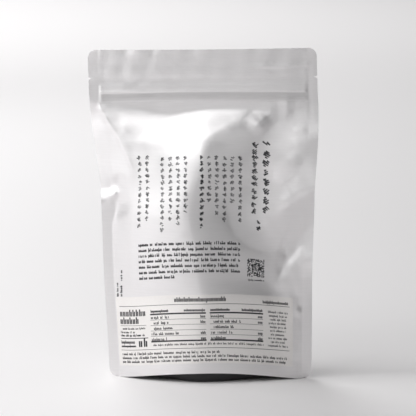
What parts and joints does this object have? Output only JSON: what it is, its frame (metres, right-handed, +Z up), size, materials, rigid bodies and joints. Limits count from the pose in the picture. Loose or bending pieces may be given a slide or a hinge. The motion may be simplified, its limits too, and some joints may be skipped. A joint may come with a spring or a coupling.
{
  "type": "stand-up food pouch",
  "caption": "Shut stand-up snack pouch of silver laminate film: welded side seals, press-to-close zip, tear notches, dark base gusset and a printed label across its foot.",
  "frame": {"origin": "on the ground under the middle of the pouch's bounding box", "axes": "+Z up to the mouth, X across the width with +X at the right of the labelled face, the labelled face looks along -Y"},
  "size_m": [0.1414, 0.0484, 0.204],
  "materials": {
    "silver_film": "matte metallised laminate film, satin and slightly creased, with dark printed marks",
    "dark_film": "dark charcoal gusset film, satin",
    "label_paper": "uncoated warm white label stock with dark printed rules and marks"
  },
  "bodies": {
    "root": {"pouch_body": "silver_film", "base_gusset": "dark_film", "label": "label_paper"}
  },
  "joints": []
}
